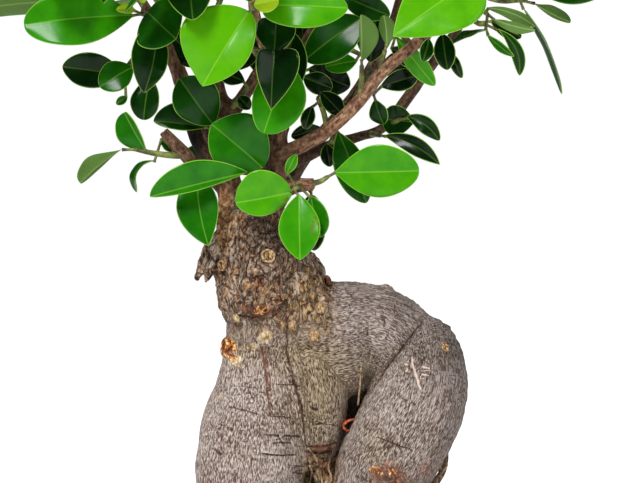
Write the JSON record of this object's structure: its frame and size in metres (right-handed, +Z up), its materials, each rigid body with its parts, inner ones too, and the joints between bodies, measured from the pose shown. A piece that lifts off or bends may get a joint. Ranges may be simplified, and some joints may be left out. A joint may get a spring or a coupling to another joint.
{
  "type": "ficus ginseng bonsai",
  "caption": "Ficus ginseng bonsai with swollen aerial roots, a rough grafted neck, pruned branches and glossy oval leaves, standing in a plain oval ceramic pot.",
  "frame": {"origin": "on the table under the middle of the pot", "axes": "+Z up, the plant's front faces -Y, +X to the viewer's right"},
  "size_m": [0.2695, 0.147, 0.3547],
  "materials": {
    "unglazed_stoneware": "unglazed, matt, fine grit",
    "potting_soil": "loose granules, rough",
    "fig_bark": "thin grey-brown bark with fine grain",
    "fig_leaf": "leathery, glossy above, matt below",
    "drain_net": "moulded net"
  },
  "bodies": {
    "root": {"drain_mesh_left": "drain_net", "drain_mesh_right": "drain_net", "pot": "unglazed_stoneware", "soil": "potting_soil", "stem_arm_back": "fig_leaf", "stem_arm_fork": "fig_leaf", "stem_arm_front": "fig_leaf", "stem_arm_inner": "fig_leaf", "stem_arm_right": "fig_leaf", "stem_arm_tip": "fig_leaf", "stem_arm_under": "fig_leaf", "stem_arm_upright": "fig_leaf", "stem_back_inner_left": "fig_leaf", "stem_back_inner_middle": "fig_leaf", "stem_back_inner_right": "fig_leaf", "stem_back_left": "fig_leaf", "stem_back_right": "fig_leaf", "stem_back_top": "fig_leaf", "stem_centre_back": "fig_leaf", "stem_centre_right": "fig_leaf", "stem_centre_top": "fig_leaf", "stem_crown_far_left": "fig_leaf", "stem_crown_far_right": "fig_leaf", "stem_crown_front": "fig_leaf", "stem_crown_inner": "fig_leaf", "stem_crown_left": "fig_leaf", "stem_crown_middle": "fig_leaf", "stem_crown_right": "fig_leaf", "stem_fork_left": "fig_leaf", "stem_front_inner": "fig_leaf", "stem_front_low": "fig_leaf", "stem_front_middle": "fig_leaf", "stem_front_top": "fig_leaf", "stem_inner_back": "fig_leaf", "stem_inner_left": "fig_leaf", "stem_inner_top": "fig_leaf", "stem_low_fork": "fig_leaf", "stem_low_inner": "fig_leaf", "stem_low_middle": "fig_leaf", "stem_neck_left": "fig_leaf", "stem_outer_far": "fig_leaf", "stem_outer_left": "fig_leaf", "stem_outer_tip": "fig_leaf", "stem_pruned_stub": "fig_leaf", "stem_right_end": "fig_leaf", "stem_right_fork": "fig_leaf", "stem_right_low": "fig_leaf", "stem_stub_front": "fig_leaf", "stem_stub_right": "fig_leaf", "stem_stub_under": "fig_leaf", "trunk": "fig_bark"}
  },
  "joints": []
}
